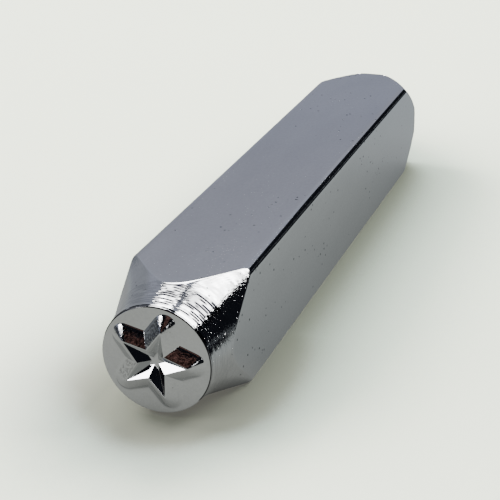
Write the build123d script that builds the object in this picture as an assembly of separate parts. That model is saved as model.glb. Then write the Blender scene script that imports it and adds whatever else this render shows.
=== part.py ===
from build123d import *
from math import acos, cos, radians, sin, sqrt, tan
import os

# A hand stamping punch: a square steel bar with a turned neck at one end, whose round face carries a raised
# five-pointed star, and a turned chamfer round the end that the mallet strikes. The whole of it is plated.
#
# The punch lies on one flat. Its length runs along Y, with the star facing -Y, and +Z is up.
# The origin is the middle of the resting flat, under the middle of the whole length.
# All lengths are in millimetres and angles in degrees.

SHANK_WIDTH = 10.0  # across the flats
SHANK_EDGE_RADIUS = 0.6  # along the four long edges
BODY_LENGTH = 62.5  # from the die face to the struck end

NECK_RADIUS = 4.44  # of the turned neck, at the die face
FLARE_RADIUS = 17.0  # of the hollow curve from the neck out to the shank
FLARE_START_ANGLE = 4.5  # between the neck and the axis, at the die face
RIM_ROUND = 0.12  # round the die face

STRUCK_FACE_RADIUS = 5.13  # of the struck end, where its chamfer would meet it
STRUCK_CHAMFER_ANGLE = 21.0  # between that chamfer and the axis
STRUCK_ROUND = 0.4  # round the struck end
TURNING_RADIUS = 7.2  # just clear of the shank's long edges

STAR_ARMS = 5
STAR_TURN = 1.5  # from +X to the first arm
STAR_HEIGHT = 0.75  # of the crest, above the die face
CREST_TIP_RADIUS = 2.8  # from the axis to the points of the star
CREST_NOTCH_RADIUS = 1.2  # from the axis to the corners between the arms
CREST_LAND = 0.05  # width of the flat left along the crest
FLANK_RUN = 1.09  # from the crest to the foot of the star's sloping sides
FOOT_TIP_ROUND = 1.0  # of the foot of the star, at the end of each arm
DISH_DEPTH = 0.95  # from the crest to where the hollow's facets would meet
HOLLOW_FLOOR = 0.03  # height above the die face of the small flat at the bottom of the hollow
DISH_OVERRUN = 0.25  # by which the tool that cuts the hollow stands above the crest
STAR_ROOT = 0.3  # how far the star's solid runs into the neck

PLATING = 0.05  # thickness of the plated skin

# The parts are made standing on the axis +Z, with the die face at z = 0 looking up and the star above it.
# This turns them to lie along Y with the star facing -Y, on the resting flat.
LAY_DOWN = Pos(0, (STAR_HEIGHT - BODY_LENGTH) / 2, SHANK_WIDTH / 2) * Rot(X=90)


def square_bar(inset):
    """The drawn bar, its four long edges rounded, with every surface moved in by inset."""
    side = SHANK_WIDTH - 2 * inset
    section = RectangleRounded(side, side, SHANK_EDGE_RADIUS - inset)
    return extrude(section, -BODY_LENGTH)


def turned_envelope(inset):
    """What the lathe leaves: the neck and its flare, and the chamfered struck end."""
    flare = FLARE_RADIUS + inset
    centre_r = NECK_RADIUS + FLARE_RADIUS * cos(radians(FLARE_START_ANGLE))
    centre_z = FLARE_RADIUS * sin(radians(FLARE_START_ANGLE))

    def flare_point(angle):
        return (centre_r - flare * cos(angle), centre_z - flare * sin(angle))

    face_z = -inset
    end_z = inset - BODY_LENGTH
    start = (centre_r - sqrt(flare**2 - (centre_z - face_z) ** 2), face_z)
    end_angle = acos((centre_r - TURNING_RADIUS) / flare)
    middle_angle = (radians(FLARE_START_ANGLE) + end_angle) / 2
    chamfer = radians(STRUCK_CHAMFER_ANGLE)
    end_r = STRUCK_FACE_RADIUS - inset / cos(chamfer) + inset * tan(chamfer)
    chamfer_z = end_z + (TURNING_RADIUS - end_r) / tan(chamfer)

    with BuildSketch(Plane.XZ) as profile:
        with BuildLine():
            ThreePointArc(start, flare_point(middle_angle), flare_point(end_angle))
            Polyline(
                flare_point(end_angle),
                (TURNING_RADIUS, chamfer_z),
                (end_r, end_z),
                (0, end_z),
                (0, face_z),
                start,
            )
        make_face()
        corners = profile.vertices()
        fillet(corners.sort_by_distance(Vector(start[0], 0, start[1]))[0], RIM_ROUND - inset)
        fillet(corners.sort_by_distance(Vector(end_r, 0, end_z))[0], STRUCK_ROUND - inset)
    return revolve(profile.sketch, Axis.Z)


def crest_outline():
    """The sharp star along the top of the raised relief, flat at z = 0."""
    half_step = 180 / STAR_ARMS
    points = []
    for step in range(2 * STAR_ARMS):
        radius = CREST_NOTCH_RADIUS if step % 2 else CREST_TIP_RADIUS
        angle = radians(STAR_TURN + step * half_step)
        points.append((radius * cos(angle), radius * sin(angle)))
    return make_face(Polyline(*points, close=True))


def widened_star(run, tip_round):
    """The crest's star with its sides moved out by run, and the end of each arm rounded."""
    star = offset(crest_outline(), run, kind=Kind.INTERSECTION)
    tips = star.vertices().sort_by(lambda corner: corner.center().length)[-STAR_ARMS:]
    return fillet(tips, tip_round)


def raised_star(inset):
    """The star, with sloping sides and a hollow of ten flat facets that fall to a small flat floor."""
    foot = widened_star(FLANK_RUN, FOOT_TIP_ROUND)
    top = Pos(0, 0, STAR_HEIGHT) * widened_star(CREST_LAND, CREST_LAND)
    relief = loft([foot, top], ruled=True) + extrude(foot, -STAR_ROOT)
    overrun = (DISH_DEPTH + DISH_OVERRUN) / DISH_DEPTH
    dish_mouth = Pos(0, 0, STAR_HEIGHT + DISH_OVERRUN) * scale(crest_outline(), overrun)
    floor_share = 1 - (STAR_HEIGHT - HOLLOW_FLOOR) / DISH_DEPTH
    dish_floor = Pos(0, 0, HOLLOW_FLOOR) * scale(crest_outline(), floor_share)
    dish = loft([dish_floor, dish_mouth], ruled=True)
    return Pos(0, 0, -inset) * relief, Pos(0, 0, -inset) * dish


def punch(inset):
    """The whole punch as one solid, with every surface moved in by inset."""
    relief, dish = raised_star(inset)
    return (square_bar(inset) & turned_envelope(inset)) + relief - dish


steel_body = punch(PLATING)
plated_skin = punch(0) - steel_body

os.makedirs("parts", exist_ok=True)
export_step(LAY_DOWN * steel_body, "parts/steel_body.step")
export_step(LAY_DOWN * plated_skin, "parts/plated_skin.step")
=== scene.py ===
import math

import bpy
from mathutils import Matrix, Vector, noise


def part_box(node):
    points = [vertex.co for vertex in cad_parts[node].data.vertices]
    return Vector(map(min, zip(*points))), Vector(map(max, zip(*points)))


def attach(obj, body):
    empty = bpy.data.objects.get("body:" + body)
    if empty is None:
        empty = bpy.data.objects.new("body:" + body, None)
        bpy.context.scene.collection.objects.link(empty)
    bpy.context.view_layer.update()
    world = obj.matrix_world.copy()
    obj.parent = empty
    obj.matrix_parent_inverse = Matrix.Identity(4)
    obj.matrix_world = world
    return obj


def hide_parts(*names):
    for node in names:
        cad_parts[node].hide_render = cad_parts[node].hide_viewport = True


# The looks of a plated steel design stamp, built round its CAD frame.
# It lies on one flat with its length along Y, the star facing -Y and +Z up.
# Shapes are worked out in millimetres about the punch's axis, then placed in metres by place().

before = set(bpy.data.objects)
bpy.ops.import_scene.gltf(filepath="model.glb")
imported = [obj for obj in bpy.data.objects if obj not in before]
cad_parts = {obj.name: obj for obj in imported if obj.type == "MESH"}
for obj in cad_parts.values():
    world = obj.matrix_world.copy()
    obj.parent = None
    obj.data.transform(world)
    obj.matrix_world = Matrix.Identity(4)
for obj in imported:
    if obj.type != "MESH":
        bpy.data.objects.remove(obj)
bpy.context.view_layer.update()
low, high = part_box("plated_skin")

MM = 0.001

# ---------------------------------------------------------------- sizes, in millimetres and degrees
SHANK_WIDTH = (high.x - low.x) / MM
WHOLE_LENGTH = (high.y - low.y) / MM
SHANK_EDGE_RADIUS = 0.6

STAR_HEIGHT = 0.75
BODY_LENGTH = WHOLE_LENGTH - STAR_HEIGHT
NECK_RADIUS = 4.44
FLARE_RADIUS = 17.0
FLARE_START_ANGLE = 4.5
RIM_ROUND = 0.12

STRUCK_FACE_RADIUS = 5.13
STRUCK_CHAMFER_ANGLE = 21.0
STRUCK_ROUND = 0.4

STAR_ARMS = 5
STAR_TURN = 1.5
CREST_TIP_RADIUS = 2.8
CREST_NOTCH_RADIUS = 1.2
CREST_LAND = 0.05
FLANK_RUN = 1.09
FOOT_TIP_ROUND = 1.0
DISH_DEPTH = 0.95
HOLLOW_FLOOR = 0.03
FLANK_BULGE = 0.2

# How widely the crossings of two surfaces are rounded off.
CREST_SOFTNESS = 0.08
HOLLOW_SOFTNESS = 0.05
FOOT_SOFTNESS = 0.06
EDGE_SOFTNESS = 0.06


# ---------------------------------------------------------------- profiles of the turned ends
HALF_WIDTH = SHANK_WIDTH / 2
FLARE_START = math.radians(FLARE_START_ANGLE)
FLARE_CENTRE_R = NECK_RADIUS + FLARE_RADIUS * math.cos(FLARE_START)
FLARE_CENTRE_Y = -FLARE_RADIUS * math.sin(FLARE_START)
CHAMFER_SLOPE = math.tan(math.radians(STRUCK_CHAMFER_ANGLE))


def soft_min(a, b, softness):
    """The smaller of two heights, with their crossing rounded off."""
    near = max(softness - abs(a - b), 0)
    return min(a, b) - near * near / (4 * softness)


def soft_max(a, b, softness):
    """The larger of two heights, with their crossing rounded off."""
    return -soft_min(-a, -b, softness)


def square_radius(angle):
    """From the axis to the shank's surface, at an angle in degrees from +X towards +Z."""
    turn = math.radians((angle + 45) % 90 - 45)
    flat = HALF_WIDTH / math.cos(turn)
    core = HALF_WIDTH - SHANK_EDGE_RADIUS
    if abs(flat * math.sin(turn)) <= core:
        return flat
    lean = abs(turn) - math.pi / 4
    reach = core * math.sqrt(2)
    across = reach * math.sin(lean)
    return reach * math.cos(lean) + math.sqrt(SHANK_EDGE_RADIUS**2 - across**2)


def flare_radius(y):
    """Radius of the turned neck at a distance y behind the die face."""
    return FLARE_CENTRE_R - math.sqrt(FLARE_RADIUS**2 - (y - FLARE_CENTRE_Y) ** 2)


def flare_reach(radius):
    """How far behind the die face the neck has opened out to a radius."""
    return FLARE_CENTRE_Y + math.sqrt(FLARE_RADIUS**2 - (FLARE_CENTRE_R - radius) ** 2)


def chamfer_radius(y):
    """Radius of the turned chamfer, y behind the die face."""
    return STRUCK_FACE_RADIUS + (BODY_LENGTH - y) * CHAMFER_SLOPE


# ---------------------------------------------------------------- the star's relief on the die face
ARM_STEP = 360 / STAR_ARMS
HALF_STEP = math.radians(ARM_STEP / 2)

# Within this share of the way to the crest, the flank is too far off to round off the hollow.
WELL_INSIDE = 0.7


def crest_normal():
    """Direction and distance from the axis of the line along one side of an arm, with the arm along 0."""
    tip = Vector((CREST_TIP_RADIUS, 0))
    notch = CREST_NOTCH_RADIUS * Vector((math.cos(HALF_STEP), math.sin(HALF_STEP)))
    along = (tip - notch).normalized()
    normal = Vector((-along.y, along.x))
    return math.atan2(normal.y, normal.x), tip.dot(normal)


SIDE_ANGLE, SIDE_DISTANCE = crest_normal()
FOOT_CENTRE = CREST_TIP_RADIUS + (FLANK_RUN - FOOT_TIP_ROUND) / math.cos(SIDE_ANGLE)
FOOT_TANGENT = Vector((
    FOOT_CENTRE + FOOT_TIP_ROUND * math.cos(SIDE_ANGLE),
    FOOT_TIP_ROUND * math.sin(SIDE_ANGLE),
))


def arm_angle(angle):
    """The angle from the nearest arm of the star, in radians, never negative."""
    return abs(math.radians((angle - STAR_TURN + ARM_STEP / 2) % ARM_STEP - ARM_STEP / 2))


def side_radius(turn, out):
    """Where a ray at an angle from an arm meets a line beside its crest, moved out by a distance."""
    return (SIDE_DISTANCE + out) / math.cos(SIDE_ANGLE - turn)


def foot_radius(turn, out):
    """Where the ray meets the foot of the star, moved out by a distance."""
    if turn >= math.atan2(FOOT_TANGENT.y, FOOT_TANGENT.x):
        return side_radius(turn, FLANK_RUN + out)
    across = FOOT_CENTRE * math.sin(turn)
    return FOOT_CENTRE * math.cos(turn) + math.sqrt((FOOT_TIP_ROUND + out) ** 2 - across**2)


def flank_height(radius, turn):
    """Height above the die face of the star's sloping side, slightly bulged, and of the cone round the end
    of an arm."""
    point = Vector((radius * math.cos(turn), radius * math.sin(turn)))
    tip = Vector((CREST_TIP_RADIUS, 0))
    out = point.x * math.cos(SIDE_ANGLE) + point.y * math.sin(SIDE_ANGLE) - SIDE_DISTANCE
    share = (out - CREST_LAND) / (FLANK_RUN - CREST_LAND)
    ray = point - tip
    edge = FOOT_TANGENT - tip
    if ray.length > 0.01 and ray.x > 0 and math.atan2(ray.y, ray.x) < math.atan2(edge.y, edge.x):
        way = ray.normalized()
        start = tip.x - FOOT_CENTRE
        half = start * way.x
        run = -half + math.sqrt(half * half - start * start + FOOT_TIP_ROUND**2)
        share = (ray.length - CREST_LAND) / (run - CREST_LAND)
    bulge = FLANK_BULGE * max(share * (1 - share), 0)
    return STAR_HEIGHT * (1 - share + bulge)


def flank_facing(radius, angle):
    """Which way a point of a flank faces, in degrees round the axis from +X towards +Z."""
    swing = (angle - STAR_TURN + ARM_STEP / 2) % ARM_STEP - ARM_STEP / 2
    turn = math.radians(abs(swing))
    ray = math.atan2(radius * math.sin(turn), radius * math.cos(turn) - CREST_TIP_RADIUS)
    return angle - swing + math.copysign(math.degrees(min(ray, SIDE_ANGLE)), swing)


def star_height(radius, angle):
    """Height of the relief above the die face: hollow inside the crest, and a sloping flank outside it."""
    turn = arm_angle(angle)
    crest = side_radius(turn, 0)
    hollow = STAR_HEIGHT - DISH_DEPTH * (1 - radius / crest)
    hollow = soft_max(hollow, HOLLOW_FLOOR, HOLLOW_SOFTNESS)
    if radius <= WELL_INSIDE * crest:
        return hollow
    surface = soft_min(hollow, flank_height(radius, turn), CREST_SOFTNESS)
    if radius <= crest:
        return surface
    return soft_max(max(surface, -STAR_HEIGHT), 0, FOOT_SOFTNESS)


# ---------------------------------------------------------------- the grid of the punch's surface
# Lines round each long edge and across each flat, how far apart the three lines of a crease are, and the
# least angle between two lines.
EDGE_STEPS, FLAT_STEPS = 12, 40
CREASE = 0.7
LEAST_GAP = 0.12


def column_angles():
    """Angles of the lines that run the length of the punch: close together round each long edge, and
    three close together on each arm and notch of the star."""
    core = HALF_WIDTH - SHANK_EDGE_RADIUS
    turns = []
    edge_start = math.degrees(math.atan2(core, HALF_WIDTH))
    for side in range(4):
        for step in range(FLAT_STEPS):
            turns.append(90 * side - edge_start + 2 * edge_start * step / FLAT_STEPS)
        for step in range(EDGE_STEPS):
            swing = math.radians(90 * step / EDGE_STEPS)
            x = core + SHANK_EDGE_RADIUS * math.cos(swing)
            z = core + SHANK_EDGE_RADIUS * math.sin(swing)
            turns.append(90 * side + math.degrees(math.atan2(z, x)))
    for step in range(2 * STAR_ARMS):
        exact = STAR_TURN + step * ARM_STEP / 2
        for wanted in (exact - CREASE, exact, exact + CREASE):
            gaps = [abs((turn - wanted + 180) % 360 - 180) for turn in turns]
            nearest = gaps.index(min(gaps))
            if wanted == exact:
                turns[nearest] = wanted
            else:
                turns.append(wanted)
    turns = sorted(turn % 360 for turn in turns)
    return [turn for i, turn in enumerate(turns) if i == 0 or turn - turns[i - 1] > LEAST_GAP]


def spread(start, end, count):
    """count values from start up to, but not including, end."""
    return [start + (end - start) * i / count for i in range(count)]


# The turning marks lie from MARKS_START to MARKS_END behind the die face, and are coarse from COARSE_START
# to COARSE_END. Painted shade, a dimming of the highlight, joins them from DIMMING_START on. FRONT_WALL
# and BACK_WALL are how far a mark's sides reach, and MARK_WAVER is more than it ever strays.
UNDERCUT, UNDERCUT_DEPTH = 0.24, 0.024
MARKS_START, COARSE_START, DIMMING_START, COARSE_END, MARKS_END = 0.6, 0.8, 1.2, 3.4, 7.6
COARSE_DEPTH, FINE_DEPTH = 0.028, 0.006
COARSE_PITCH, FINE_PITCH = 0.25, 0.2
FRONT_WALL, BACK_WALL = 0.13, 0.09
MARK_WAVER = 0.05

NECK_RINGS, COARSE_RINGS = 180, 130


def neck_rings(end):
    """Distances of the rings along the neck, closest together as far as the coarse turning marks go."""
    if end * COARSE_RINGS / NECK_RINGS < COARSE_END:
        return spread(RIM_ROUND, end, NECK_RINGS)
    return spread(RIM_ROUND, COARSE_END, COARSE_RINGS) + spread(COARSE_END, end, NECK_RINGS - COARSE_RINGS)


def turning_marks():
    """The lines a lathe tool left round the neck, as (distance behind the die face, depth). The first is
    the undercut behind the rim."""
    marks = [(UNDERCUT, UNDERCUT_DEPTH)]
    y = MARKS_START
    while y < MARKS_END:
        coarse = COARSE_START < y < COARSE_END
        depth, pitch = (COARSE_DEPTH, COARSE_PITCH) if coarse else (FINE_DEPTH, FINE_PITCH)
        marks.append((y, depth * (1 + 0.9 * noise.noise(Vector((5.3, 11.7 * y, 0.4))))))
        y += pitch * (1 + 0.3 * noise.noise(Vector((2.1, 0.3, 17.9 * y))))
    return marks


MARKS = turning_marks()

# Shares round the neck, as (angle, share) stops. These angles are in degrees from the underside: the right
# is at 90, the top at 180 and the left at 270.
# The first two are dirt and painted shade in the marks, set round the neck by where light falls on it: the
# first darkens them most across the bright highlight on the upper right, less where a grey streak crosses it.
DIRT_AND_PAINTED_SHADE = [(125, 0.05), (135, 0.9), (153, 1.0), (158, 0.4), (166, 0.4), (170, 1.0), (181, 0.9),
         (186, 0.15), (215, 0.08), (235, 0.0)]
DIRT_AND_PAINTED_SHADE_BEHIND_RIM = [(90, 0.1), (104, 0.5), (130, 0.5), (135, 0.0), (156, 0.0), (162, 1.0), (172, 0.9),
                    (180, 0.3), (186, 0.6), (240, 0.6), (270, 0.1)]
DEEPLY_CUT = [(115, 0.4), (135, 1.0), (186, 1.0), (198, 0.3), (225, 0.2)]
GRAINY = [(70, 0.0), (85, 1.0), (132, 1.0), (150, 0.3), (165, 0.1)]


def between(value, stops):
    """The share at a value, along straight lines from one (value, share) stop to the next."""
    for (start, share), (end, next_share) in zip(stops, stops[1:]):
        if value <= end:
            return share + (next_share - share) * max(value - start, 0) / (end - start)
    return stops[-1][1]


def from_underside(angle):
    return (angle + 90) % 360


def groove(y, angle):
    """The turning marks at a point of the neck: how deep, and how dark from 0 to 1. Each mark wavers a
    little, and comes and goes round the neck. The darkness is dirt and painted shade, and lies in those on
    the upper right, where the highlight falls; over the coarse ones a painted dimming of the highlight joins
    it."""
    swing = math.radians(angle)
    round_x, round_z = math.cos(swing), math.sin(swing)
    # Dirt and painted shade: how dark the marks are here depends on where they lie round the neck.
    dirt_and_shade_share = between(from_underside(angle), DIRT_AND_PAINTED_SHADE)
    behind_rim = between(from_underside(angle), DIRT_AND_PAINTED_SHADE_BEHIND_RIM)
    cut = between(from_underside(angle), DEEPLY_CUT)
    deepest, darkest_mark = 0.0, 0.0
    for number, (centre, depth) in enumerate(MARKS):
        if abs(y - centre) > FRONT_WALL + MARK_WAVER:
            continue
        waver = 0.03 * noise.noise(Vector((1.3 * round_x, 1.3 * round_z, 3.7 * number)))
        away = y - centre - waver
        share = 1 - (away / BACK_WALL if away > 0 else -away / FRONT_WALL)
        if share > 0:
            presence = 1.0 + 2.6 * noise.noise(Vector((6.3 * round_x, 6.3 * round_z, 9.1 * number + 4)))
            presence = min(max(presence, 0), 1)
            mark_share = behind_rim if centre == UNDERCUT else dirt_and_shade_share * min(depth / 0.02, 1)
            deepest = max(deepest, depth * presence * share * cut)
            darkest_mark = max(darkest_mark, min(1.8 * mark_share * presence, 1.0) * min(8 * share, 1))
    # Painted shade: a dimming laid over the highlight among the coarse marks.
    highlight_dimming = 0
    if DIMMING_START < y < COARSE_END:
        patch = noise.noise(Vector((2.8 * round_x, 2.8 * round_z, 1.1 * y)))
        highlight_dimming = 0.7 * dirt_and_shade_share * min(max(0.8 + 1.2 * patch, 0), 1)
    return deepest, max(darkest_mark, highlight_dimming)


def waviness(x, y, z):
    """How far the drawn bar's surface lies under its nominal one: long low ripples along its length."""
    point = Vector((0.28 * x, 0.075 * y, 0.28 * z))
    fine = Vector((0.9 * x, 0.33 * y, 0.9 * z))
    return 0.0045 * (1 + noise.noise(point)) + 0.0012 * (1 + noise.noise(fine))


# Where the points of one line lie: shares of the way out to the star's crest, distances out from its crest
# and from its foot, distances from where a turned end meets the shank, and shares of the struck flat.
FACE_EDGE = NECK_RADIUS - RIM_ROUND
HOLLOW_SHARES = (0.12, 0.22, 0.26, 0.3, 0.34, 0.5, 0.7, 0.88)
CREST_OUTS = (-0.06, -0.04, -0.02, 0.0, 0.02, 0.04, 0.06, 0.09)
FOOT_OUTS = (-0.1, -0.06, -0.03, 0.0, 0.03, 0.08)
FLARE_OFFSETS = (-0.3, -0.2, -0.13, -0.07, -0.03, 0.0, 0.03, 0.07, 0.13, 0.2, 0.3)
CHAMFER_OFFSETS = (-0.4, -0.25, -0.12, 0.0, 0.12, 0.25, 0.4)
STRUCK_SHARES = (0.9, 0.75, 0.55, 0.35, 0.15)
FLANK_STEPS, FACE_STEPS, RIM_STEPS, SHANK_STEPS, CHAMFER_STEPS, STRUCK_STEPS = 7, 6, 5, 72, 14, 8
# How dark the line at the back of the rim's round is: partly dirt, partly painted shade.
RIM_DIRT_AND_PAINTED_SHADE = 0.97


def face_radii(turn):
    """Radii of one line's points across the die face: the star's hollow, crest, flank and foot, and the
    flat beyond. Every line has the same number of them."""
    crest, inner = side_radius(turn, 0), side_radius(turn, CREST_OUTS[0])
    radii = [crest * share for share in HOLLOW_SHARES if crest * share < inner - 0.02]
    radii += spread(radii[-1], inner, len(HOLLOW_SHARES) - len(radii) + 1)[1:]
    radii += [side_radius(turn, out) for out in CREST_OUTS]
    radii += spread(radii[-1], foot_radius(turn, FOOT_OUTS[0]), FLANK_STEPS)[1:]
    radii += [foot_radius(turn, out) for out in FOOT_OUTS]
    return radii + spread(radii[-1], FACE_EDGE, FACE_STEPS)[1:]


def column(angle):
    """Points down one line of the surface, from beside the middle of the die face to beside the middle of
    the struck face, as (radius, distance behind the die face, dirt and painted shade there)."""
    points = [(radius, -star_height(radius, angle), 0.0) for radius in face_radii(arm_angle(angle))]

    # The small round at the rim, with a dark line painted at its back over the top of the neck: partly dirt,
    # partly painted shade.
    over_the_top = (angle + 40) % 360 < 200
    for step in range(RIM_STEPS):
        swing = math.pi / 2 * step / RIM_STEPS
        dirt_plus_shade = RIM_DIRT_AND_PAINTED_SHADE if over_the_top and step >= 2 else 0.0
        points.append((FACE_EDGE + RIM_ROUND * math.sin(swing), RIM_ROUND * (1 - math.cos(swing)), dirt_plus_shade))

    # The turned neck and its flare, as far as the shank.
    square = square_radius(angle)
    edge = flare_reach(square)
    for y in neck_rings(edge + FLARE_OFFSETS[0]) + [edge + offset for offset in FLARE_OFFSETS]:
        depth, dirt_plus_shade = groove(y, angle)
        fade = min(max((edge - y) / 0.12, 0), 1) * min((y - RIM_ROUND) / 0.03, 1)
        radius = soft_min(flare_radius(y), square, EDGE_SOFTNESS) - fade * depth
        points.append((radius, y, fade * dirt_plus_shade))

    # The shank, as far as the chamfer.
    last = BODY_LENGTH - STRUCK_ROUND
    far_edge = min(BODY_LENGTH - (square - STRUCK_FACE_RADIUS) / CHAMFER_SLOPE, last - 0.45)
    chamfer = [far_edge + offset for offset in CHAMFER_OFFSETS]
    points += [(square, y, 0.0) for y in spread(edge + FLARE_OFFSETS[-1], chamfer[0], SHANK_STEPS)[1:]]

    # The chamfer, the round and the flat at the struck end.
    lean = math.radians(STRUCK_CHAMFER_ANGLE)
    inset = STRUCK_ROUND * (1 - math.sin(lean))
    flat_radius = STRUCK_FACE_RADIUS - inset / math.cos(lean)
    chamfer += spread(chamfer[-1], BODY_LENGTH - inset, CHAMFER_STEPS)[1:]
    points += [(soft_min(chamfer_radius(y), square, 2 * EDGE_SOFTNESS), y, 0.0) for y in chamfer]
    for step in range(STRUCK_STEPS):
        swing = lean + (math.pi / 2 - lean) * step / (STRUCK_STEPS - 1)
        radius = flat_radius + STRUCK_ROUND * math.cos(swing)
        points.append((min(radius, square), BODY_LENGTH - STRUCK_ROUND * (1 - math.sin(swing)), 0.0))
    return points + [(flat_radius * share, BODY_LENGTH, 0.0) for share in STRUCK_SHARES]


def place(radius, y, angle):
    """A point of the surface, in metres in the frame."""
    x = radius * math.cos(math.radians(angle))
    z = radius * math.sin(math.radians(angle))
    if RIM_ROUND < y < BODY_LENGTH:
        under = waviness(x, y, z) * min(y - RIM_ROUND, 1) * min(BODY_LENGTH - y, 1)
        x *= 1 - under / radius
        z *= 1 - under / radius
    return ((low.x + high.x) / 2 + x * MM, low.y + (STAR_HEIGHT + y) * MM, (low.z + high.z) / 2 + z * MM)


def struck_share(radius, angle):
    """How strongly the star's flank is struck there, from 0 to 1: most where it faces up."""
    turn = arm_angle(angle)
    if not side_radius(turn, 0.05) < radius < min(foot_radius(turn, -0.1), NECK_RADIUS - 0.2):
        return 0.0
    upward = math.sin(math.radians(flank_facing(radius, angle)))
    return min(max(2 * upward - 0.6, 0.05), 1.0)


def build_punch():
    """The whole plated surface as one closed mesh, with notes at each point of how it was worked, and of
    the dirt and painted shade in its marks.
    """
    angles = column_angles()
    columns = [column(angle) for angle in angles]
    vertices = []
    notes = {"turned": [], "grainy": [], "struck": [], "dirt_and_painted_shade": []}
    for angle, points in zip(angles, columns):
        square = square_radius(angle)
        grain = between(from_underside(angle), GRAINY)
        for radius, y, dirt_plus_shade in points:
            vertices.append(place(radius, y, angle))
            on_neck = RIM_ROUND < y < flare_reach(square)
            on_chamfer = chamfer_radius(y) < square
            notes["turned"].append(1.0 if on_neck or on_chamfer else 0.0)
            notes["grainy"].append(grain if on_neck else 0.0)
            notes["struck"].append(struck_share(radius, angle) if y < 0.01 else 0.0)
            notes["dirt_and_painted_shade"].append(dirt_plus_shade)

    # The middles of the two end faces, then the faces of the mesh.
    front, back = len(vertices), len(vertices) + 1
    middle_z = (low.z + high.z) / 2
    vertices += [(0.0, low.y + (STAR_HEIGHT - HOLLOW_FLOOR) * MM, middle_z), (0.0, high.y, middle_z)]
    for name, values in notes.items():
        values += [0.0, 1.0 if name == "turned" else 0.0]
    faces = []
    count, rings = len(angles), len(columns[0])
    for i in range(count):
        here, there = i * rings, (i + 1) % count * rings
        faces.append((front, there, here))
        for j in range(rings - 1):
            faces.append((here + j, there + j, there + j + 1, here + j + 1))
        faces.append((back, here + rings - 1, there + rings - 1))
    mesh = bpy.data.meshes.new("punch_surface")
    mesh.from_pydata(vertices, [], faces)
    mesh.update()
    mesh.polygons.foreach_set("use_smooth", [True] * len(mesh.polygons))
    for name, values in notes.items():
        mesh.attributes.new(name, "FLOAT", "POINT").data.foreach_set("value", values)
    piece = bpy.data.objects.new("punch_surface", mesh)
    bpy.context.scene.collection.objects.link(piece)
    weighted = piece.modifiers.new("flat_facets", "WEIGHTED_NORMAL")
    weighted.weight = 60
    return piece


# ---------------------------------------------------------------- materials
def new_material(name):
    material = bpy.data.materials.new(name)
    material.use_nodes = True
    nodes = material.node_tree.nodes
    return material, nodes, material.node_tree.links, nodes["Principled BSDF"]


def feed(links, socket, value):
    """Gives a socket a value, or joins it to another node's output."""
    if isinstance(value, bpy.types.NodeSocket):
        links.new(value, socket)
    else:
        socket.default_value = value


def math_node(nodes, links, operation, *values):
    node = nodes.new("ShaderNodeMath")
    node.operation = operation
    for socket, value in zip(node.inputs, values):
        feed(links, socket, value)
    return node.outputs["Value"]


def mix_colours(nodes, links, factor, first, second, blend="MIX"):
    node = nodes.new("ShaderNodeMix")
    node.data_type = "RGBA"
    node.blend_type = blend
    feed(links, node.inputs["Factor"], factor)
    feed(links, node.inputs[6], first)
    feed(links, node.inputs[7], second)
    return node.outputs[2]


def map_range(nodes, links, value, start, end, first=0.0, last=1.0, smooth=False):
    """Turns a value that runs from start to end into one that runs from first to last."""
    node = nodes.new("ShaderNodeMapRange")
    node.interpolation_type = "SMOOTHSTEP" if smooth else "LINEAR"
    links.new(value, node.inputs["Value"])
    node.inputs["From Min"].default_value = start
    node.inputs["From Max"].default_value = end
    node.inputs["To Min"].default_value = first
    node.inputs["To Max"].default_value = last
    return node.outputs["Result"]


def places(nodes, links):
    """The outputs X, Y and Z, in metres."""
    coords = nodes.new("ShaderNodeTexCoord")
    apart = nodes.new("ShaderNodeSeparateXYZ")
    links.new(coords.outputs["Object"], apart.inputs["Vector"])
    return apart.outputs


def grey(level):
    return (level, level, level)


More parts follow.
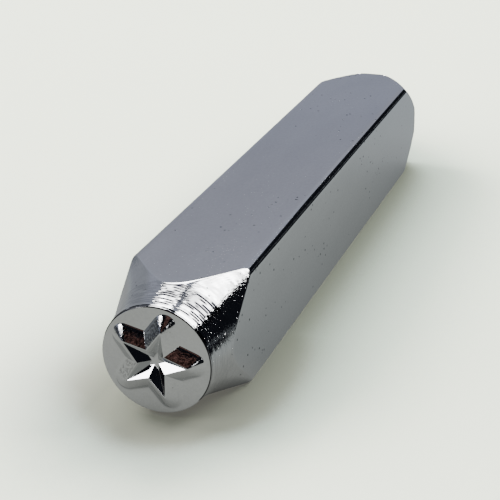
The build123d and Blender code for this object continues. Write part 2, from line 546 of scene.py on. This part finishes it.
def plating_material():
    """Bright plating over steel: a cool grey mirror, slightly hazed in clouds and in lines along the bar,
    with turning lines where it was turned, dirt and painted shade in its grooves and over the neck's
    highlight, a grainy skin on the star's flanks, and a few pits."""
    material, nodes, links, shader = new_material("plating")
    shader.inputs["Metallic"].default_value = 1.0
    coords = nodes.new("ShaderNodeTexCoord")

    def mapped(scale):
        mapping = nodes.new("ShaderNodeMapping")
        mapping.inputs["Scale"].default_value = scale
        links.new(coords.outputs["Object"], mapping.inputs["Vector"])
        return mapping.outputs["Vector"]

    def pattern(scale, stretch, detail=2.0, rough=0.5):
        texture = nodes.new("ShaderNodeTexNoise")
        texture.inputs["Scale"].default_value = scale
        texture.inputs["Detail"].default_value = detail
        texture.inputs["Roughness"].default_value = rough
        links.new(mapped(stretch), texture.inputs["Vector"])
        return texture.outputs["Fac"]

    def ramp(source, *stops):
        node = nodes.new("ShaderNodeValToRGB")
        for element, (where, colour) in zip(node.color_ramp.elements, stops):
            element.position = where
            element.color = (*colour, 1)
        links.new(source, node.inputs["Fac"])
        return node.outputs["Color"]

    def times(first, second):
        return math_node(nodes, links, "MULTIPLY", first, second)

    def plus(first, second):
        return math_node(nodes, links, "ADD", first, second)

    def larger(first, second):
        return math_node(nodes, links, "MAXIMUM", first, second)

    def noted(name):
        node = nodes.new("ShaderNodeAttribute")
        node.attribute_name = name
        return node.outputs["Fac"]

    def bump(height, distance, strength, under=None):
        node = nodes.new("ShaderNodeBump")
        node.inputs["Distance"].default_value = distance
        links.new(height, node.inputs["Height"])
        feed(links, node.inputs["Strength"], strength)
        if under:
            links.new(under, node.inputs["Normal"])
        return node.outputs["Normal"]

    turned, grainy, struck = noted("turned"), noted("grainy"), noted("struck")

    # Small pits, scattered in patches: deep in a few of the cells of a fine net.
    net = nodes.new("ShaderNodeTexVoronoi")
    net.inputs["Scale"].default_value = 1800
    links.new(mapped((1, 1, 1)), net.inputs["Vector"])
    chosen = ramp(net.outputs["Color"], (0.68, grey(0)), (0.69, grey(1)))
    patches = ramp(pattern(130, (1, 1, 1)), (0.46, grey(0)), (0.56, grey(1)))
    centre = ramp(net.outputs["Distance"], (0.11, grey(1)), (0.2, grey(0)))
    pits = times(times(chosen, patches), centre)

    # Faint clouding and speckling of the colour. Pits, dirt and the painted shade in the marks are nearly
    # black, even seen along the surface.
    tint = ramp(pattern(260, (1, 0.35, 1), 4), (0.3, (0.53, 0.54, 0.55)), (0.7, (0.58, 0.59, 0.60)))
    speckles = ramp(pattern(4200, (1, 0.6, 1), 3, 0.7), (0.3, grey(0.93)), (0.65, grey(1)))
    clean = mix_colours(nodes, links, 1.0, tint, speckles, "MULTIPLY")
    blotches = ramp(pattern(5200, (1, 1, 1), 3, 0.7), (0.42, grey(0.85)), (0.56, grey(0)))
    dirt_and_shade_share = larger(pits, larger(noted("dirt_and_painted_shade"), times(struck, blotches)))
    colour = mix_colours(nodes, links, dirt_and_shade_share, clean, (0.006, 0.006, 0.008, 1))
    links.new(colour, shader.inputs["Base Color"])
    glancing = mix_colours(nodes, links, dirt_and_shade_share, (1, 1, 1, 1), (0, 0, 0, 1))
    links.new(glancing, shader.inputs["Specular Tint"])

    # Haze, heavier in patches and in lines along the bar.
    haze = ramp(pattern(500, (1, 0.15, 1), 6), (0.35, grey(0.04)), (0.75, grey(0.1)))
    links.new(plus(plus(haze, times(struck, 0.02)), times(pits, 0.3)), shader.inputs["Roughness"])

    # Fine lines along the bar, fine lines round the turned ends, grain and specks on the neck's right, and
    # grain on the star's flanks.
    normal = bump(pattern(1.0, (2600, 90, 2600), 3), 0.00003, 0.06)
    normal = bump(pattern(1.0, (160, 8200, 160), 3, 0.7), 0.00003, times(turned, 0.35), normal)
    normal = bump(pattern(6000, (1, 0.7, 1), 2, 0.6), 0.00004, times(grainy, 0.25), normal)
    specks = ramp(pattern(6400, (1, 1, 1), 2), (0.72, grey(0)), (0.77, grey(1)))
    normal = bump(specks, 0.00004, times(grainy, 0.6), normal)
    normal = bump(pattern(2600, (1, 1, 1), 3, 0.6), 0.00012, times(struck, 0.25), normal)
    links.new(normal, shader.inputs["Normal"])
    return material


def floor_material():
    """Smooth pale card, faintly uneven, with painted shade: its colour is darker close round the punch, where
    little of the room reaches it: least so on the left, and most so in front of the die face, and a faint
    painted glow lies in the deepest of it."""
    material, nodes, links, shader = new_material("pale_card")
    shader.inputs["Roughness"].default_value = 0.75
    shader.inputs["Specular IOR Level"].default_value = 0.2
    texture = nodes.new("ShaderNodeTexNoise")
    texture.inputs["Scale"].default_value = 30
    pale = nodes.new("ShaderNodeValToRGB")
    pale.color_ramp.elements[0].color = (0.745, 0.79, 0.615, 1)
    pale.color_ramp.elements[1].color = (0.775, 0.82, 0.645, 1)
    links.new(texture.outputs["Fac"], pale.inputs["Fac"])
    near = nodes.new("ShaderNodeAmbientOcclusion")
    near.inputs["Distance"].default_value = 0.075
    near.samples = 32
    place_x, place_y, _ = places(nodes, links)

    # How much of the room is hidden from each point, made to count for more in front of the die face.
    in_front = math_node(nodes, links, "MULTIPLY", map_range(nodes, links, place_x, 0.013, 0.003),
                         map_range(nodes, links, place_y, -0.014, -0.028))
    hidden = math_node(nodes, links, "SUBTRACT", 1.0, near.outputs["AO"])
    weight = math_node(nodes, links, "MULTIPLY_ADD", in_front, 1.25, 1.0)
    hidden = math_node(nodes, links, "MULTIPLY", hidden, weight)

    # The painted shade's colour, from deep to none.
    shade = nodes.new("ShaderNodeValToRGB")
    stops = shade.color_ramp.elements
    stops[0].position = 0.53
    stops[0].color = (0.25, 0.26, 0.24, 1)
    stops[1].position = 1.0
    stops.new(0.72).color = (0.48, 0.54, 0.555, 1)
    stops.new(0.85).color = (0.545, 0.60, 0.615, 1)
    links.new(math_node(nodes, links, "SUBTRACT", 1.0, hidden), shade.inputs["Fac"])
    shaded = map_range(nodes, links, place_x, -0.021, -0.006)
    colour = mix_colours(nodes, links, shaded, pale.outputs["Color"], shade.outputs["Color"], "MULTIPLY")
    # In front of the die face the painted shade is also darker and a little less green.
    close = math_node(nodes, links, "MINIMUM", math_node(nodes, links, "MULTIPLY", hidden, 2.5), 1.0)
    close = math_node(nodes, links, "MULTIPLY", in_front, close)
    colour = mix_colours(nodes, links, close, colour, (0.93, 0.88, 0.94, 1), "MULTIPLY")
    links.new(colour, shader.inputs["Base Color"])

    # Painted light: a faint glow in the deepest painted shade, standing in for light that the plating throws
    # back.
    painted_bounce_glow = map_range(nodes, links, near.outputs["AO"], 0.1, 0.5, 0.11, 0.0, smooth=True)
    links.new(painted_bounce_glow, shader.inputs["Emission Strength"])
    shader.inputs["Emission Color"].default_value = (1.0, 0.97, 0.85, 1)
    return material


# ---------------------------------------------------------------- the punch
punch = build_punch()
punch.data.materials.append(plating_material())
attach(punch, "root")
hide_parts("plated_skin", "steel_body")


# ---------------------------------------------------------------- the stage
# The camera sees the floor, which the softboxes light. The plating doesn't: it sees the ground, the cards and
# the panels instead, which the camera doesn't. Both see the room.
def sheet(name, corners, material, seen_by_camera=False, seen_in_plating=True):
    """A flat quadrilateral of the stage, from four corners in metres."""
    mesh = bpy.data.meshes.new(name)
    mesh.from_pydata(corners, [], [(0, 1, 2, 3)])
    mesh.materials.append(material)
    thing = bpy.data.objects.new(name, mesh)
    bpy.context.scene.collection.objects.link(thing)
    thing.visible_camera = seen_by_camera
    thing.visible_diffuse = seen_by_camera
    thing.visible_shadow = seen_by_camera
    thing.visible_glossy = seen_in_plating
    return thing


def glow_material(name, colour, strength, shade=0.0, panel=False):
    """An evenly lit surface, made as a glow. With shade, it has painted shade: it darkens towards anything
    that stands on it, over that distance. A panel lights the plating only, and sends nothing on to the floor."""
    material = bpy.data.materials.new(name)
    material.use_nodes = True
    nodes, links = material.node_tree.nodes, material.node_tree.links
    nodes.clear()
    out = nodes.new("ShaderNodeOutputMaterial")
    glow = nodes.new("ShaderNodeEmission")
    glow.inputs["Color"].default_value = (*colour, 1)
    glow.inputs["Strength"].default_value = strength
    links.new(glow.outputs["Emission"], out.inputs["Surface"])
    if shade:
        near = nodes.new("ShaderNodeAmbientOcclusion")
        near.inputs["Distance"].default_value = shade
        near.inputs["Color"].default_value = (*colour, 1)
        links.new(near.outputs["Color"], glow.inputs["Color"])
    if panel:
        path = nodes.new("ShaderNodeLightPath")
        scattered = map_range(nodes, links, path.outputs["Diffuse Depth"], 0, 1, strength, 0)
        links.new(scattered, glow.inputs["Strength"])
    return material


def tint_ground(material):
    """Painted light and shade on the ground: it is dimmer on the left than on the right, brightest and a
    little yellow in front of the die face, and bluish further back."""
    nodes, links = material.node_tree.nodes, material.node_tree.links
    where = places(nodes, links)
    tint = (0.8, 0.83, 0.84, 1)
    for axis, start, end, next_tint in (("X", -0.006, 0.006, (0.92, 0.98, 0.965, 1)),
                                        ("Y", -0.017, -0.027, (1.09, 1.12, 1.04, 1)),
                                        ("Y", 0.01, 0.06, (0.9, 0.98, 1.03, 1))):
        share = map_range(nodes, links, where[axis], start, end, smooth=True)
        tint = mix_colours(nodes, links, share, tint, next_tint)
    links.new(tint, nodes["Ambient Occlusion"].inputs["Color"])


def spot(azimuth, elevation, distance):
    """A point seen from the die face. Azimuth 0 is +Y, behind the punch, and 90 is +X."""
    a, e = math.radians(azimuth), math.radians(elevation)
    way = Vector((math.sin(a) * math.cos(e), math.cos(a) * math.cos(e), math.sin(e)))
    return Vector((0, low.y, (low.z + high.z) / 2)) + way * distance


def screen(name, left, right, bottom, top, distance, material):
    """A sheet standing round the die face between two azimuths and two elevations."""
    corners = [spot(left, bottom, distance), spot(right, bottom, distance),
               spot(right, top, distance), spot(left, top, distance)]
    return sheet(name, corners, material)


def level(points, height):
    """Corners at one height, from (x, y) points."""
    return [(x, y, height) for x, y in points]


def upright(start, end, bottom, top):
    """Corners of a wall that stands between two (x, y) points."""
    return [(*start, bottom), (*end, bottom), (*end, top), (*start, top)]


def mottled_glow(name, strength, first, second, size):
    """A glow that wanders between two colours, in patches of about a size in metres."""
    material = glow_material(name, first, strength)
    nodes, links = material.node_tree.nodes, material.node_tree.links
    coords = nodes.new("ShaderNodeTexCoord")
    texture = nodes.new("ShaderNodeTexNoise")
    texture.inputs["Scale"].default_value = 1 / size
    links.new(coords.outputs["Object"], texture.inputs["Vector"])
    mix = nodes.new("ShaderNodeValToRGB")
    for element, where, colour in zip(mix.color_ramp.elements, (0.42, 0.58), (first, second)):
        element.position = where
        element.color = (*colour, 1)
    links.new(texture.outputs["Fac"], mix.inputs["Fac"])
    links.new(mix.outputs["Color"], nodes["Emission"].inputs["Color"])
    return material


BLACK = glow_material("black_card", (0.6, 0.7, 1.0), 0.012)
BROWN = mottled_glow("brown_card", 0.25, (0.02, 0.02, 0.02), (1.0, 0.5, 0.42), 0.014)
DIM = glow_material("dim_card", (0.95, 1.0, 1.12), 0.41)
SLATE = mottled_glow("slate_card", 0.3, (0.25, 0.28, 0.33), (0.75, 0.8, 0.85), 0.02)
WHITE = glow_material("white_panel", (1.0, 0.99, 0.98), 18, panel=True)
GLINT = glow_material("small_window", (1.0, 0.99, 0.98), 4, panel=True)
GROUND = glow_material("ground_glow", (1.0, 1.0, 1.0), 0.54, shade=0.012)
tint_ground(GROUND)

# Heights of the ground and of the black card over the floor, and of the ceiling, then the room's black walls.
GROUND_LIFT, CARD_LIFT, CEILING = 0.00002, 0.0001, 0.6
ROOM_FRONT, ROOM_BACK, ROOM_RIGHT = -0.6, 1.1, 0.7

sheet("floor", level([(-0.8, -0.6), (0.8, -0.6), (0.8, 1.0), (-0.8, 1.0)], low.z),
      floor_material(), seen_by_camera=True, seen_in_plating=False)
# The ground glows in place of the floor in the plating, with painted light and shade.
sheet("ground", level([(-0.5, -0.4), (0.5, -0.4), (0.5, 0.6), (-0.5, 0.6)], GROUND_LIFT), GROUND)
sheet("ceiling_left", level([(-0.35, -0.1), (-0.035, -0.1), (-0.035, 0.87), (-0.35, 0.75)], CEILING), WHITE)
sheet("ceiling_right", level([(0.12, -0.05), (0.72, -0.15), (0.74, 1.15), (0.12, 0.9)], CEILING), WHITE)
screen("left_window", 221, 250, 25, 42, 0.6, WHITE)
# A black card just above the ground on the right, seen only in the plating: it paints a dark reflection low
# on the neck's right, where the floor beside the punch is pale.
sheet("black_on_floor", level([(0.0185, -0.0145), (0.2, 0.05), (0.2, 0.3), (0.022, 0.3)], CARD_LIFT), BLACK)
sheet("black_right", upright((ROOM_RIGHT, ROOM_FRONT), (ROOM_RIGHT, ROOM_BACK), -0.1, 0.58), BLACK)
sheet("black_back", upright((0.2, ROOM_BACK), (ROOM_RIGHT, ROOM_BACK), -0.1, 0.55), BLACK)
sheet("black_front", upright((-0.5, ROOM_FRONT), (ROOM_RIGHT, ROOM_FRONT), 0.0, 1.0), BLACK)
screen("brown", 162, 196, 18, 40, 0.4, BROWN)
screen("slate", 236, 296, -8, 14, 0.15, SLATE)
screen("small_window", 149, 154, 11, 18, 0.5, GLINT)
screen("dim_left", 292, 331, -6, 24, 0.3, DIM)

# The rest of the room: even and bluish, a little lighter higher up.
world = bpy.data.worlds.new("room")
bpy.context.scene.world = world
world.use_nodes = True
sky, joins = world.node_tree.nodes, world.node_tree.links
towards = sky.new("ShaderNodeTexCoord")
parts = sky.new("ShaderNodeSeparateXYZ")
joins.new(towards.outputs["Generated"], parts.inputs["Vector"])
wall = sky.new("ShaderNodeValToRGB")
heights = wall.color_ramp.elements
heights[0].position = 0.29
heights[0].color = (0.405, 0.43, 0.535, 1)
heights[1].position = 0.40
heights[1].color = (0.475, 0.49, 0.575, 1)
heights.new(0.345).color = (0.413, 0.427, 0.508, 1)
heights.new(0.46).color = (0.505, 0.53, 0.63, 1)
joins.new(parts.outputs["Z"], wall.inputs["Fac"])
joins.new(wall.outputs["Color"], sky["Background"].inputs["Color"])


def floor_light(name, azimuth, elevation, distance, width, height, power):
    """A softbox that lights the floor and throws the soft shadow, but isn't seen in the plating."""
    light = bpy.data.lights.new(name, "AREA")
    light.shape = "RECTANGLE"
    light.size, light.size_y = width, height
    light.energy = power
    lamp = bpy.data.objects.new(name, light)
    bpy.context.scene.collection.objects.link(lamp)
    lamp.location = spot(azimuth, elevation, distance)
    lamp.rotation_euler = (lamp.location - spot(0, 0, 0)).to_track_quat("Z", "Y").to_euler()
    lamp.visible_camera = False
    lamp.visible_glossy = False


floor_light("light_right", 45, 44, 1.0, 0.5, 0.4, 13)
floor_light("light_behind", 340, 44, 1.0, 0.5, 0.4, 13)
floor_light("light_left", 282, 46, 1.0, 0.5, 0.5, 20)
floor_light("light_front", 200, 52, 1.0, 0.6, 0.6, 9)

# ---------------------------------------------------------------- the camera
CAMERA_LENS = 98.3
CAMERA_PLACE = Vector((0.03796, -0.11353, 0.05262))
CAMERA_TARGET = Vector((-0.0003, -0.00905, 0.005))
CAMERA_ROLL = 1.27

camera_data = bpy.data.cameras.new("camera")
camera_data.lens = CAMERA_LENS
camera_data.clip_start = 0.001
camera = bpy.data.objects.new("camera", camera_data)
bpy.context.scene.collection.objects.link(camera)
camera.location = CAMERA_PLACE
look = (CAMERA_PLACE - CAMERA_TARGET).to_track_quat("Z", "Y").to_matrix().to_4x4()
look = look @ Matrix.Rotation(math.radians(-CAMERA_ROLL), 4, "Z")
camera.rotation_euler = look.to_euler()
bpy.context.scene.camera = camera
